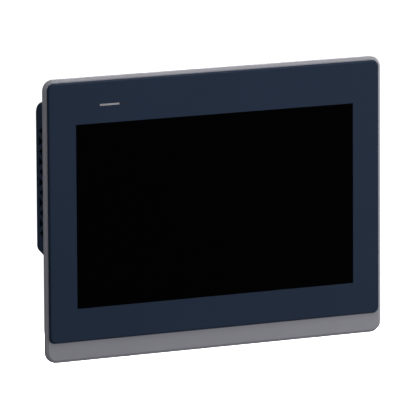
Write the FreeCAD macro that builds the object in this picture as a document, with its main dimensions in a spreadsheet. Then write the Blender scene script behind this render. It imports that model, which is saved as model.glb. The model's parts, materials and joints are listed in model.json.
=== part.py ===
"""Panel-mounted operator terminal with a wide touch screen, held in its cut-out by four clamps.

Millimetres. The origin is the middle of the bezel's rear face, which seats on the panel.
X runs along the width, Z is up, and the front faces -Y, so the housing lies behind at +Y.
"""
import FreeCAD
import Part
import math
import os
import re
import Sketcher

SIZES = (
    ("bezel_width", 268.0, "outer width of the front bezel"),
    ("bezel_height", 198.0, "outer height of the front bezel"),
    ("bezel_corner", 8.0, "outer corner radius of the bezel"),
    ("flange_depth", 3.4, "bezel in front of the panel"),
    ("floor_depth", 2.2, "bezel floor behind the cover"),
    ("rim_run", 1.9, "width of the sloping rim"),
    ("rim_drop", 0.6, "fall of the sloping rim"),
    ("bore_floor", 0.6, "material left under a blind screw hole"),
    ("cover_side", 2.2, "bezel left bare at each side of the cover"),
    ("cover_above", 2.8, "bezel left bare above the cover"),
    ("cover_below", 13.9, "bezel left bare below the cover"),
    ("cover_rise", 1.6, "cover in front of the bezel"),
    ("cover_corner", 4.5, "corner radius of the cover"),
    ("cover_round", 1.2, "rounding of the cover's front edge"),
    ("seat_gap", 0.1, "gap round the cover in its seat"),
    ("lip", 0.8, "cover lip in front of the touch glass"),
    ("fit_gap", 0.15, "gap round a piece let into another"),
    ("screen_width", 221.0, "window in the cover"),
    ("screen_height", 128.8, "window in the cover"),
    ("screen_level", 2.4, "middle of the window above the middle of the bezel"),
    ("screen_recess", 0.05, "screen sheet below the cover's face"),
    ("glass_margin", 5.0, "touch glass beyond the window on each side"),
    ("opening_margin", 2.6, "bezel opening beyond the window on each side"),
    ("foam_margin", 0.3, "opening of the foam frame beyond the window on each side"),
    ("lcd_margin", 7.0, "display module beyond the window on each side"),
    ("lcd_window", 0.5, "opening of the display frame beyond the window on each side"),
    ("lcd_depth", 5.6, "display module"),
    ("lcd_sheet", 0.5, "sheet of the display frame"),
    ("cell_thick", 1.6, "liquid crystal glass pair"),
    ("light_thick", 3.2, "backlight stack"),
    ("lamp_level", 79.4, "status lamp above the middle of the bezel"),
    ("lamp_side", 72.75, "status lamp to the left of the middle"),
    ("lamp_width", 7.5, "lamp window"),
    ("strip_width", 15.1, "pale strip beside the lamp window"),
    ("strip_height", 1.3, "pale strip and lamp window"),
    ("strip_thick", 0.4, "pale strip"),
    ("lamp_gap", 3.6, "lamp board behind the bezel floor"),
    ("lamp_board_width", 22.0, "lamp board"),
    ("lamp_board_height", 8.6, "lamp board"),
    ("lamp_board_thick", 1.0, "lamp board"),
    ("lamp_post", 1.6, "radius of the posts under the lamp board"),
    ("lamp_post_side", 8.5, "lamp board's posts from its middle"),
    ("emitter_pitch", 2.4, "from one status lamp to the next"),
    ("emitter_length", 1.6, "status lamp"),
    ("emitter_size", 0.8, "height and depth of a status lamp"),
    ("pipe_gap", 0.1, "gap round and behind the light pipe"),
    ("cutout_width", 255.0, "panel cut-out"),
    ("cutout_height", 185.0, "panel cut-out"),
    ("tray_gap", 0.5, "tray inside the cut-out on each side"),
    ("tray_depth", 11.0, "tray walls behind the panel seat"),
    ("tray_corner", 3.0, "outer corner radius of the tray"),
    ("wall", 2.0, "moulded walls"),
    ("seal_width", 2.0, "section of the panel gasket"),
    ("seal_inset", 2.5, "gasket groove from the bezel's edge"),
    ("seal_groove", 1.0, "depth of the gasket groove"),
    ("seal_proud", 0.8, "gasket behind the panel seat when free"),
    ("chassis_width", 248.0, "steel carrier plate"),
    ("chassis_height", 153.0, "steel carrier plate"),
    ("chassis_thick", 1.2, "steel carrier plate"),
    ("chassis_flange", 3.0, "bent edges of the carrier plate"),
    ("chassis_relief", 20.0, "plain edge at each end of a bent edge"),
    ("chassis_post", 2.6, "radius of the carrier's posts"),
    ("chassis_bore", 1.05, "radius of the screw holes in the carrier's posts"),
    ("chassis_hole", 1.3, "radius of the screw holes in the carrier plate"),
    ("chassis_side", 121.2, "carrier posts from the middle"),
    ("chassis_step", 52.0, "carrier posts above and below the screen's middle"),
    ("chassis_thread", 1.0, "radius of a carrier screw"),
    ("chassis_reach", 5.4, "carrier screw under its head"),
    ("chassis_head", 2.2, "radius of a carrier screw's head"),
    ("chassis_head_depth", 1.5, "head of a carrier screw"),
    ("housing_post", 3.2, "radius of the housing's posts"),
    ("housing_bore", 1.3, "radius of the screw holes in the housing's posts"),
    ("housing_hole", 1.5, "radius of the screw holes in the housing"),
    ("housing_side", 119.0, "housing posts from the middle"),
    ("housing_level", 84.0, "housing posts above and below the middle"),
    ("housing_thread", 1.25, "radius of a housing screw"),
    ("housing_reach", 9.0, "housing screw under its head"),
    ("housing_head", 2.8, "radius of a housing screw's head"),
    ("housing_head_depth", 2.0, "head of a housing screw"),
    ("board_width", 216.0, "main board"),
    ("board_low", -26.5, "lower edge of the main board"),
    ("board_high", 72.0, "upper edge of the main board"),
    ("board_thick", 1.6, "main board"),
    ("board_gap", 5.6, "spacers between carrier plate and main board"),
    ("board_hole", 1.4, "radius of the screw holes in the main board"),
    ("board_thread", 1.2, "radius of a board screw"),
    ("board_reach", 5.0, "board screw under its head"),
    ("board_head", 2.3, "radius of a board screw's head"),
    ("board_head_depth", 1.6, "head of a board screw"),
    ("spacer_side", 102.0, "board spacers from the middle"),
    ("spacer_low", -20.0, "lower board spacers"),
    ("spacer_high", 66.0, "upper board spacers"),
    ("spacer_mid", 26.0, "middle board spacers from the middle"),
    ("spacer_radius", 2.9, "across corners of the hexagonal spacers, halved"),
    ("spacer_bore", 1.25, "radius of the hole through a spacer"),
    ("foil_thick", 0.3, "flat cables"),
    ("foil_width", 16.0, "flat cables"),
    ("foil_slot", 18.0, "slots that the flat cables pass through"),
    ("tail_side", 56.0, "touch cable to the right of the middle"),
    ("tail_level", -70.55, "touch cable through the bezel floor"),
    ("tail_slot", 1.6, "height of the bezel's slot for the touch cable"),
    ("tail_front", -3.35, "front of the touch cable"),
    ("tail_turn", -70.4, "where the touch cable turns back"),
    ("tail_back", 9.2, "back of the touch cable where it rises"),
    ("tail_top", -20.0, "where the touch cable turns to the main board"),
    ("notch_height", 4.4, "notch in the cover for the touch cable"),
    ("notch_rise", 1.35, "middle of that notch above the cable's slot"),
    ("cable_side", -50.0, "display cable from the middle"),
    ("cable_level", -58.0, "display cable through the carrier plate"),
    ("cable_slot", 2.4, "height of the carrier's slots for the flat cables"),
    ("cable_low", -66.0, "lower end of the display cable"),
    ("cable_back", 8.0, "back of the display cable where it rises"),
    ("cable_top", -14.0, "where the display cable turns to the main board"),
    ("chip_side", -10.0, "processor from the middle"),
    ("chip_level", 30.0, "processor above the middle"),
    ("chip_size", 25.0, "processor"),
    ("chip_thick", 2.0, "processor"),
    ("pad_size", 24.0, "thermal pad"),
    ("pad_thick", 1.0, "thermal pad"),
    ("sink_size", 44.0, "heat sink"),
    ("sink_base", 2.5, "base of the heat sink"),
    ("fin_thick", 1.2, "heat sink fins"),
    ("fin_height", 9.0, "heat sink fins"),
    ("memory_side", 28.0, "memory chips from the middle"),
    ("memory_width", 14.0, "memory chip"),
    ("memory_height", 9.0, "memory chip"),
    ("memory_thick", 1.2, "memory chip"),
    ("memory_pitch", 12.0, "from one memory chip to the next"),
    ("coil_side", -86.0, "power coils from the middle"),
    ("coil_size", 12.0, "power coil"),
    ("coil_thick", 6.0, "power coil"),
    ("coil_low", 2.0, "lower power coil"),
    ("coil_pitch", 18.0, "from one power coil to the next"),
    ("can_side", -66.0, "capacitors from the middle"),
    ("can_radius", 4.0, "capacitor"),
    ("can_length", 10.0, "capacitor"),
    ("can_pitch", 12.0, "from one capacitor to the next"),
    ("battery_side", 84.0, "clock battery from the middle"),
    ("battery_level", 40.0, "clock battery above the middle"),
    ("holder_radius", 11.6, "battery holder"),
    ("holder_depth", 5.0, "battery holder"),
    ("holder_room", 10.1, "radius of the room in the battery holder"),
    ("holder_floor", 1.2, "floor of the battery holder"),
    ("holder_notch", 8.0, "notch for lifting the battery out"),
    ("coin_radius", 10.0, "clock battery"),
    ("coin_thick", 3.2, "clock battery"),
    ("coin_gap", 0.1, "clock battery above the holder's floor"),
    ("box_side", 120.1, "half width of the rear housing's deep part"),
    ("box_back", 39.0, "rear face behind the panel seat"),
    ("box_shoulder", 28.0, "where the lower wall starts to slope"),
    ("box_low", -29.2, "lower wall, outside"),
    ("box_low_back", -25.2, "lower edge of the rear face"),
    ("box_high", 79.3, "upper wall, outside"),
    ("box_wall", 2.2, "wall of the deep part"),
    ("high_round", 8.2, "rounding of the upper rear edge"),
    ("low_round", 5.0, "rounding of the lower rear edge"),
    ("side_round", 3.0, "rounding round both side walls"),
    ("slope_round", 8.0, "rounding where the lower wall starts to slope"),
    ("high_ease", 3.5, "chamfer inside the upper rear rounding, for an even wall"),
    ("lower_set", 0.6, "lower sloping wall's inner edge, moved down for an even wall"),
    ("shoulder_set", 0.5, "inner shoulder in front of the outer one for an even wall"),
    ("root_overlap", 1.0, "deep part let into the plate that it grows from"),
    ("vent_pitch", 14.4, "from one vent to the next of its row"),
    ("vent_base", 6.9, "base of a triangular vent"),
    ("vent_reach", 6.0, "height of a triangular vent"),
    ("vent_margin", 6.6, "vent point from the rear face"),
    ("vent_low", -12.8, "lowest rear-pointing vent"),
    ("slot_pitch", 7.0, "from one top slot to the next"),
    ("slot_width", 3.0, "top slots"),
    ("slot_length", 9.0, "top slots"),
    ("slot_margin", 2.0, "top slots from the shoulder"),
    ("overcut", 1.0, "how far a cutter runs past the surface it opens"),
    ("label_width", 70.0, "blank rating plate"),
    ("label_height", 36.0, "blank rating plate"),
    ("label_thick", 0.2, "blank rating plate"),
    ("label_gap", 0.2, "gap round the rating plate in its seat"),
    ("label_side", 40.0, "rating plate from the middle"),
    ("label_level", 30.0, "rating plate above the middle"),
    ("port_gap", 0.3, "gap round each connector in the lower wall"),
    ("port_proud", 0.4, "connectors below the lower wall"),
    ("port_front_gap", 0.1, "gap in front of each connector in the lower wall"),
    ("power_side", -88.0, "supply connector from the middle"),
    ("switch_side", -70.0, "setting switch from the middle"),
    ("host_side", -38.0, "host port from the middle"),
    ("network_a_side", 8.0, "first network jack from the middle"),
    ("network_b_side", -14.0, "second network jack from the middle"),
    ("serial_side", 56.0, "nine-way connector from the middle"),
    ("jack_width", 16.0, "network jack"),
    ("jack_depth", 13.3, "network jack"),
    ("jack_height", 21.0, "network jack"),
    ("socket_width", 11.9, "socket of a network jack"),
    ("socket_depth", 7.6, "socket of a network jack"),
    ("socket_height", 14.0, "socket of a network jack"),
    ("socket_front", 2.2, "network jack's wall in front of its socket"),
    ("latch_width", 6.2, "room for the plug's latch"),
    ("latch_depth", 1.9, "room for the plug's latch"),
    ("wire_pitch", 1.02, "from one spring contact to the next"),
    ("wire_width", 0.4, "spring contact"),
    ("wire_depth", 0.5, "spring contact"),
    ("wire_length", 11.0, "spring contact"),
    ("wire_inset", 3.0, "spring contacts inside the mouth"),
    ("serial_middle", 6.6, "middle of the nine-way connector behind the main board"),
    ("serial_width", 30.8, "flange of the nine-way connector"),
    ("serial_depth", 12.5, "flange of the nine-way connector"),
    ("serial_sheet", 1.0, "flange of the nine-way connector"),
    ("serial_inset", 0.3, "flange inside the lower wall's outer face"),
    ("tube_width", 16.9, "outside of the D-shaped tube"),
    ("tube_depth", 8.5, "outside of the D-shaped tube"),
    ("tube_reach", 5.2, "D-shaped tube in front of its flange's inner face"),
    ("tube_sheet", 0.4, "sheet of the D-shaped tube"),
    ("tube_slant", 1.4, "sideways run of the slanting ends"),
    ("face_gap", 0.1, "insulator inside the D-shaped tube"),
    ("face_depth", 1.6, "insulator's face below its block"),
    ("insert_width", 19.0, "insulator block"),
    ("insert_depth", 12.6, "insulator block"),
    ("insert_height", 13.0, "insulator block"),
    ("pin_pitch", 2.77, "from one pin to the next of its row"),
    ("pin_row", 1.42, "rows of pins from the middle"),
    ("pin_radius", 0.5, "pin of the nine-way connector"),
    ("pin_length", 4.0, "pin below the insulator's face"),
    ("stud_side", 12.5, "lock studs from the middle of the connector"),
    ("stud_hole", 1.55, "radius of the flange's holes for the studs"),
    ("stud_radius", 2.7, "across corners of a lock stud, halved"),
    ("stud_head", 5.0, "head of a lock stud"),
    ("stud_stem", 1.45, "radius of a lock stud's stem"),
    ("stem_length", 4.0, "stem of a lock stud"),
    ("stud_bore", 1.2, "radius of the thread in a lock stud"),
    ("bore_depth", 5.5, "thread in a lock stud"),
    ("usb_width", 14.5, "host port"),
    ("usb_depth", 7.1, "host port"),
    ("usb_height", 14.0, "host port"),
    ("usb_sheet", 0.3, "steel sleeve of the host port"),
    ("usb_back_gap", 0.2, "tongue's block inside the sleeve"),
    ("usb_back_height", 3.0, "tongue's block"),
    ("usb_back_inset", 0.4, "tongue's block from the sleeve's inner end"),
    ("blade_width", 11.1, "tongue of the host port"),
    ("blade_depth", 1.9, "tongue of the host port"),
    ("blade_height", 8.4, "tongue of the host port"),
    ("blade_front", 2.6, "tongue behind the main board"),
    ("switch_width", 7.6, "setting switch"),
    ("switch_depth", 6.2, "setting switch"),
    ("switch_height", 5.0, "setting switch"),
    ("switch_inset", 0.8, "setting switch above the lower wall's outer face"),
    ("track_side", 1.6, "switch tracks from the middle of the switch"),
    ("track_width", 1.6, "track of a lever"),
    ("track_length", 3.4, "track of a lever"),
    ("track_height", 2.2, "depth of a lever's track"),
    ("track_front", 1.4, "tracks behind the main board"),
    ("lever_size", 1.2, "switch lever"),
    ("lever_height", 2.7, "switch lever"),
    ("lever_front", 1.6, "levers behind the main board"),
    ("header_width", 19.4, "supply header"),
    ("header_depth", 11.6, "supply header"),
    ("header_height", 12.0, "supply header"),
    ("header_wall", 1.2, "walls of the supply header"),
    ("header_floor", 2.2, "closed end of the supply header"),
    ("plug_gap", 0.3, "gap round the plug in the header"),
    ("plug_hang", 9.0, "plug below the header's mouth"),
    ("plug_height", 18.0, "plug"),
    ("plug_pitch", 5.08, "from one pole to the next"),
    ("pole_size", 1.0, "header pin"),
    ("pole_length", 8.0, "header pin"),
    ("pole_front", 3.8, "header pins behind the plug's front"),
    ("pole_inset", 1.8, "header pins above the mouth"),
    ("socket_size", 2.0, "plug's hole for a header pin"),
    ("socket_room", 9.0, "plug's hole for a header pin"),
    ("socket_inset", 1.0, "plug's holes above the header's mouth"),
    ("entry_width", 3.4, "wire entry"),
    ("entry_depth", 4.2, "wire entry"),
    ("entry_height", 6.5, "wire entry"),
    ("entry_front", 2.2, "wire entries behind the plug's front"),
    ("well_radius", 1.7, "well over a terminal screw"),
    ("well_depth", 2.4, "well over a terminal screw"),
    ("well_level", 3.6, "wells above the plug's lower end"),
    ("pole_screw", 1.6, "radius of a terminal screw"),
    ("pole_screw_depth", 1.5, "head of a terminal screw"),
    ("pole_screw_inset", 0.7, "terminal screw below the plug's back"),
    ("screw_slot", 0.6, "width and depth of a terminal screw's slot"),
    ("clamp_side", 70.0, "clamps from the middle"),
    ("clamp_level", 94.6, "clamp screws above and below the middle"),
    ("clamp_width", 14.0, "clamp block"),
    ("clamp_depth", 4.6, "clamp block along the screw"),
    ("clamp_front", 8.6, "front of the clamp block"),
    ("clamp_half", 2.4, "half height of the clamp block"),
    ("hook_width", 8.0, "clamp hook"),
    ("hook_thick", 1.6, "clamp hook"),
    ("hook_reach", 2.0, "hook lip in front of its leg"),
    ("hook_gap", 0.2, "gap round the hook in its slot"),
    ("foot_front", 6.2, "pressing face of a backed-off foot"),
    ("foot_depth", 2.2, "clamp foot along the screw"),
    ("foot_radius", 2.0, "clamp foot"),
    ("tip_gap", 0.05, "floor of the foot's cup in front of the screw's tip"),
    ("thread_radius", 1.5, "clamp screw"),
    ("thread_gap", 0.08, "running gap round the clamp screw"),
    ("screw_front", 6.9, "tip of a backed-off clamp screw"),
    ("screw_length", 12.5, "clamp screw"),
    ("key_radius", 0.87, "hexagonal key hole across corners, halved"),
    ("key_depth", 2.2, "hexagonal key hole"),
)

NAMES = {name for name, value, note in SIZES}

doc = FreeCAD.newDocument("touch_panel")
sheet = doc.addObject("Spreadsheet::Sheet", "sizes")
for row, (name, value, note) in enumerate(SIZES, start=1):
    sheet.set("A%d" % row, name)
    sheet.set("B%d" % row, str(value))
    sheet.set("C%d" % row, note)
    sheet.setAlias("B%d" % row, name)
doc.recompute()

nodes = []


# ---- tools that tie the model to the sheet -------------------------------------------------

def cells(formula):
    """Turn the sheet's names inside a formula into cell references."""
    def reference(word):
        return "sizes." + word.group(0) if word.group(0) in NAMES else word.group(0)
    return re.sub(r"[a-z_]+", reference, str(formula))


def number(formula):
    """Give a formula's present value."""
    return float(sheet.evalExpression(cells(formula)))


def bind(thing, target, formula):
    """Drive one property by a formula."""
    thing.setExpression(target, cells(formula))


def piece(label, thing):
    """Name a finished sub-part."""
    thing.Label = label
    nodes.append(thing)
    return thing


def new_body(label):
    return piece(label, doc.addObject("PartDesign::Body", label))


# ---- sketches ------------------------------------------------------------------------------

def sketch(body, name, plane, x="0", y="0", z="0"):
    """Start a sketch on one of the body's own planes, its origin moved to x, y, z."""
    made = body.newObject("Sketcher::SketchObject", name)
    support = next(item for item in body.Origin.OriginFeatures if item.Role == plane)
    made.AttachmentSupport = (support, [""])
    made.MapMode = "FlatFace"
    offsets = {
        "XZ_Plane": (x, z, "-(%s)" % y),
        "YZ_Plane": (y, z, x),
        "XY_Plane": (x, y, z),
    }
    for letter, formula in zip("xyz", offsets[plane]):
        bind(made, "AttachmentOffset.Base." + letter, formula)
    return made


def constrain(made, *details, formula):
    """Add a constraint whose value is a formula."""
    index = made.addConstraint(Sketcher.Constraint(*details, number(formula)))
    bind(made, "Constraints[%d]" % index, formula)


def polygon(made, corners):
    """Draw a closed outline through corners given as pairs of formulas."""
    spots = [FreeCAD.Vector(number(u), number(v), 0) for u, v in corners]
    lines = []
    for index, spot in enumerate(spots):
        lines.append(made.addGeometry(Part.LineSegment(spots[index - 1], spot), False))
    for index, line in enumerate(lines):
        following = lines[(index + 1) % len(lines)]
        made.addConstraint(Sketcher.Constraint("Coincident", line, 2, following, 1))
        u, v = corners[index]
        constrain(made, "DistanceX", -1, 1, line, 2, formula=u)
        constrain(made, "DistanceY", -1, 1, line, 2, formula=v)


def rectangle(made, width, height, u="0", v="0"):
    """Draw a rectangle about the point u, v."""
    left, right = "(%s) - (%s) / 2" % (u, width), "(%s) + (%s) / 2" % (u, width)
    low, high = "(%s) - (%s) / 2" % (v, height), "(%s) + (%s) / 2" % (v, height)
    polygon(made, ((left, low), (right, low), (right, high), (left, high)))


def rounded_rectangle(made, width, height, corner):
    """Draw a rectangle with round corners about the sketch's origin."""
    radius = number(corner)
    half_u, half_v = number(width) / 2, number(height) / 2
    inner_u, inner_v = half_u - radius, half_v - radius
    upward = FreeCAD.Vector(0, 0, 1)

    def line(u_from, v_from, u_to, v_to):
        ends = FreeCAD.Vector(u_from, v_from, 0), FreeCAD.Vector(u_to, v_to, 0)
        return made.addGeometry(Part.LineSegment(*ends), False)

    def arc(u, v, start):
        circle_of_corner = Part.Circle(FreeCAD.Vector(u, v, 0), upward, radius)
        angles = math.radians(start), math.radians(start + 90)
        return made.addGeometry(Part.ArcOfCircle(circle_of_corner, *angles), False)

    low = line(-inner_u, -half_v, inner_u, -half_v)
    low_right = arc(inner_u, -inner_v, -90)
    right = line(half_u, -inner_v, half_u, inner_v)
    high_right = arc(inner_u, inner_v, 0)
    high = line(inner_u, half_v, -inner_u, half_v)
    high_left = arc(-inner_u, inner_v, 90)
    left = line(-half_u, inner_v, -half_u, -inner_v)
    low_left = arc(-inner_u, -inner_v, 180)
    loop = (low, low_right, right, high_right, high, high_left, left, low_left)
    for index, item in enumerate(loop):
        following = loop[(index + 1) % len(loop)]
        made.addConstraint(Sketcher.Constraint("Tangent", item, 2, following, 1))
    for item in (low, high):
        made.addConstraint(Sketcher.Constraint("Horizontal", item))
    for item in (right, left):
        made.addConstraint(Sketcher.Constraint("Vertical", item))
    for item in (high_right, high_left, low_left):
        made.addConstraint(Sketcher.Constraint("Equal", low_right, item))
    constrain(made, "Radius", low_right, formula=corner)
    constrain(made, "DistanceX", left, 1, right, 1, formula=width)
    constrain(made, "DistanceY", low, 1, high, 1, formula=height)
    made.addConstraint(Sketcher.Constraint("Symmetric", low_right, 3, high_left, 3, -1, 1))


def circles(made, radius, centres):
    """Draw equal circles about centres given as pairs of formulas."""
    for u, v in centres:
        centre = FreeCAD.Vector(number(u), number(v), 0)
        ring = Part.Circle(centre, FreeCAD.Vector(0, 0, 1), number(radius))
        item = made.addGeometry(ring, False)
        constrain(made, "Radius", item, formula=radius)
        constrain(made, "DistanceX", -1, 1, item, 3, formula=u)
        constrain(made, "DistanceY", -1, 1, item, 3, formula=v)


# ---- features ------------------------------------------------------------------------------

def faces_forward(profile):
    """Say whether the sketch's normal is a negative axis, as it is on the XZ plane."""
    return profile.AttachmentSupport[0][0].Role == "XZ_Plane"


def pad(body, profile, length, toward="+"):
    """Grow a sketch along its axis: toward "+", "-" or "both" halves."""
    made = body.newObject("PartDesign::Pad", profile.Name + "_pad")
    made.Profile = profile
    bind(made, "Length", length)
    if toward == "both":
        made.SideType = "Symmetric"
    else:
        made.Reversed = (toward == "-") != faces_forward(profile)
    return made


def pocket(body, profile, depth, toward="+"):
    """Cut a sketch along its axis: toward "+", "-" or "both" halves."""
    made = body.newObject("PartDesign::Pocket", profile.Name + "_pocket")
    made.Profile = profile
    bind(made, "Length", depth)
    if toward == "both":
        made.SideType = "Symmetric"
    else:
        made.Reversed = (toward == "+") != faces_forward(profile)
    return made


def repeat(body, feature, axis, pitch, count):
    """Repeat a feature along its sketch's H_Axis or V_Axis."""
    made = body.newObject("PartDesign::LinearPattern", feature.Name + "_row")
    made.Originals = [feature]
    made.Direction = (feature.Profile[0], [axis])
    made.Occurrences = count
    bind(made, "Length", "(%s) * %d" % (pitch, count - 1))
    body.Tip = made
    return made


def edges_where(feature, test):
    """Name the edges whose middle and bounding box pass a test."""
    doc.recompute()
    found = []
    for index, edge in enumerate(feature.Shape.Edges, start=1):
        if test(edge.BoundBox):
            found.append("Edge%d" % index)
    return found


def level(axis, place, slack=1e-4):
    """Make a test for an edge that lies at one place along an axis."""
    def test(box):
        ends = getattr(box, axis + "Min"), getattr(box, axis + "Max")
        return all(abs(end - place) < slack for end in ends)
    return test


# ---- primitives ----------------------------------------------------------------------------

AXES = {
    "+Y": FreeCAD.Vector(0, 1, 0),
    "-Y": FreeCAD.Vector(0, -1, 0),
    "+Z": FreeCAD.Vector(0, 0, 1),
    "-Z": FreeCAD.Vector(0, 0, -1),
}


def place(thing, spot):
    """Bind an object's position to three formulas."""
    for letter, formula in zip("xyz", spot):
        bind(thing, "Placement.Base." + letter, formula)


def block(name, low, size):
    """Make a box from its lowest corner and its size."""
    made = doc.addObject("Part::Box", name)
    for target, formula in zip(("Length", "Width", "Height"), size):
        bind(made, target, formula)
    place(made, low)
    return made


def middle_block(name, x, y, z, size):
    """Make a box centred on x and z that starts at y and runs back."""
    low = ("(%s) - (%s) / 2" % (x, size[0]), y, "(%s) - (%s) / 2" % (z, size[2]))
    return block(name, low, size)


def rod(name, start, axis, radius, length):
    """Make a cylinder from its start along an axis."""
    made = doc.addObject("Part::Cylinder", name)
    made.Placement.Rotation = FreeCAD.Rotation(AXES["+Z"], AXES[axis])
    bind(made, "Radius", radius)
    bind(made, "Height", length)
    place(made, start)
    return made


def hexagon(name, start, axis, radius, length):
    """Make a hexagonal prism from its start along an axis."""
    made = doc.addObject("Part::Prism", name)
    made.Placement.Rotation = FreeCAD.Rotation(AXES["+Z"], AXES[axis])
    made.Polygon = 6
    bind(made, "Circumradius", radius)
    bind(made, "Height", length)
    place(made, start)
    return made


def cut(name, base, tool):
    made = doc.addObject("Part::Cut", name)
    made.Base = base
    made.Tool = tool
    return made


def fuse(name, shapes):
    made = doc.addObject("Part::MultiFuse", name)
    made.Shapes = shapes
    return made


def group(name, shapes):
    """Keep separate solids together in one sub-part."""
    made = doc.addObject("Part::Compound", name)
    made.Links = shapes
    return made


RECESS_ARM = 1.2
RECESS_BLADE = 0.3
RECESS_FLOOR = 0.45


def screw(name, x, y, z, kind):
    """Make a pan-head screw driven from behind: y is the seat under its head, kind names its sizes.

    The cross recess is given as shares of the head's radius and depth.
    """
    head, head_depth = kind + "_head", kind + "_head_depth"
    shank = rod(name + "_shank", (x, y, z), "-Y", kind + "_thread", kind + "_reach")
    dome = rod(name + "_dome", (x, y, z), "+Y", head, head_depth)
    whole = fuse(name + "_blank", [shank, dome])
    arm, blade = "%s * %s" % (head, RECESS_ARM), "%s * %s" % (head, RECESS_BLADE)
    recess_from = "(%s) + %s * %s" % (y, head_depth, RECESS_FLOOR)
    upright = middle_block(name + "_slot", x, recess_from, z, (blade, head_depth, arm))
    across = middle_block(name + "_cross", x, recess_from, z, (arm, head_depth, blade))
    return cut(name, whole, fuse(name + "_recess", [upright, across]))


# ---- levels and places shared by several sub-parts -----------------------------------------

BEZEL_FACE = "-flange_depth"
COVER_FACE = "-(flange_depth + cover_rise)"
COVER_BACK = "-floor_depth"
COVER_DEPTH = "(flange_depth + cover_rise - floor_depth)"
COVER_WIDTH = "(bezel_width - 2 * cover_side)"
COVER_HEIGHT = "(bezel_height - cover_above - cover_below)"
COVER_LEVEL = "((cover_below - cover_above) / 2)"
GLASS_FACE = "(lip - flange_depth - cover_rise)"
GLASS_THICK = "(flange_depth + cover_rise - lip - floor_depth)"
STRIP_SIDE = "(-lamp_side - lamp_width / 2 - strip_width / 2)"
TRAY_WIDTH = "(cutout_width - 2 * tray_gap)"
TRAY_HEIGHT = "(cutout_height - 2 * tray_gap)"
TRAY_TOP = "(cutout_height / 2 - tray_gap)"
CHASSIS_BACK = "(lcd_depth + chassis_thick)"
BOARD_FRONT = "(lcd_depth + chassis_thick + board_gap)"
BOARD_BACK = "(lcd_depth + chassis_thick + board_gap + board_thick)"
PLATE_BACK = "(tray_depth + wall)"
PORT_MOUTH = "(box_low - port_proud)"

HOUSING_POSTS = [(x, z) for x in ("-housing_side", "0", "housing_side")
                 for z in ("-housing_level", "housing_level")]
CHASSIS_POSTS = [(x, z) for x in ("-chassis_side", "chassis_side")
                 for z in ("screen_level - chassis_step", "screen_level",
                           "screen_level + chassis_step")]
SPACERS = [(x, z) for x in ("-spacer_side", "spacer_mid", "spacer_side")
           for z in ("spacer_low", "spacer_high")]
LAMP_POSTS = [("-lamp_side - lamp_post_side", "lamp_level"),
              ("-lamp_side + lamp_post_side", "lamp_level")]

FIN_COUNT = 9
SLOT_COUNT = 22
REAR_VENTS = 6
FRONT_VENTS = 5
JACK_WIRES = 8


def around_screen(margin):
    """Give the width and height of a frame that stands beyond the window by a margin."""
    return "screen_width + 2 * (%s)" % margin, "screen_height + 2 * (%s)" % margin


# ---- front ---------------------------------------------------------------------------------

def front_bezel():
    """Grey moulding: flange in front of the panel and a tray that passes through the cut-out."""
    body = new_body("front_bezel")
    outline = sketch(body, "bezel_outline", "XZ_Plane")
    rounded_rectangle(outline, "bezel_width", "bezel_height", "bezel_corner")
    plate = pad(body, outline, "flange_depth", "-")

    front_edges = edges_where(plate, level("Y", number(BEZEL_FACE)))
    rim = body.newObject("PartDesign::Chamfer", "bezel_rim")
    rim.Base = (plate, front_edges)
    rim.ChamferType = "Two distances"
    bind(rim, "Size", "rim_drop")
    bind(rim, "Size2", "rim_run")

    tray = sketch(body, "bezel_tray", "XZ_Plane")
    rounded_rectangle(tray, TRAY_WIDTH, TRAY_HEIGHT, "tray_corner")
    rounded_rectangle(tray, TRAY_WIDTH + " - 2 * wall", TRAY_HEIGHT + " - 2 * wall",
                      "tray_corner - wall")
    pad(body, tray, "tray_depth", "+")

    seat = sketch(body, "bezel_cover_seat", "XZ_Plane", y=BEZEL_FACE, z=COVER_LEVEL)
    rounded_rectangle(seat, COVER_WIDTH + " + 2 * seat_gap", COVER_HEIGHT + " + 2 * seat_gap",
                      "cover_corner")
    pocket(body, seat, "flange_depth - floor_depth", "+")

    window = sketch(body, "bezel_window", "XZ_Plane", y=COVER_BACK, z="screen_level")
    rectangle(window, *around_screen("opening_margin"))
    pocket(body, window, "floor_depth", "+")

    lamp = sketch(body, "bezel_lamp_slot", "XZ_Plane", x="-lamp_side", y=COVER_BACK, z="lamp_level")
    rectangle(lamp, "lamp_width + 2 * fit_gap", "strip_height + 2 * fit_gap")
    pocket(body, lamp, "floor_depth", "+")

    tail = sketch(body, "bezel_tail_slot", "XZ_Plane", x="tail_side", y=COVER_BACK, z="tail_level")
    rectangle(tail, "foil_slot", "tail_slot")
    pocket(body, tail, "floor_depth", "+")

    groove = sketch(body, "bezel_groove", "XZ_Plane")
    gasket_outline(groove)
    pocket(body, groove, "seal_groove", "-")

    for name, radius, bore, centres, height in (
            ("housing", "housing_post", "housing_bore", HOUSING_POSTS, "tray_depth"),
            ("chassis", "chassis_post", "chassis_bore", CHASSIS_POSTS, "lcd_depth")):
        posts = sketch(body, "bezel_%s_posts" % name, "XZ_Plane")
        circles(posts, radius, centres)
        pad(body, posts, height, "+")
        bores = sketch(body, "bezel_%s_bores" % name, "XZ_Plane", y=height)
        circles(bores, bore, centres)
        pocket(body, bores, height + " - bore_floor", "-")
    lamp_posts = sketch(body, "bezel_lamp_posts", "XZ_Plane")
    circles(lamp_posts, "lamp_post", LAMP_POSTS)
    pad(body, lamp_posts, "lamp_gap", "+")

    for name, way in (("upper", ""), ("lower", "-")):
        slots = sketch(body, "bezel_%s_slots" % name, "XZ_Plane", y="clamp_front - hook_gap",
                       z="%s(%s - wall / 2)" % (way, TRAY_TOP))
        for side in ("-clamp_side", "clamp_side"):
            rectangle(slots, "hook_width + 2 * hook_gap", "wall + 2 * hook_gap", u=side)
        pocket(body, slots, "hook_thick + 2 * hook_gap", "+")


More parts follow.
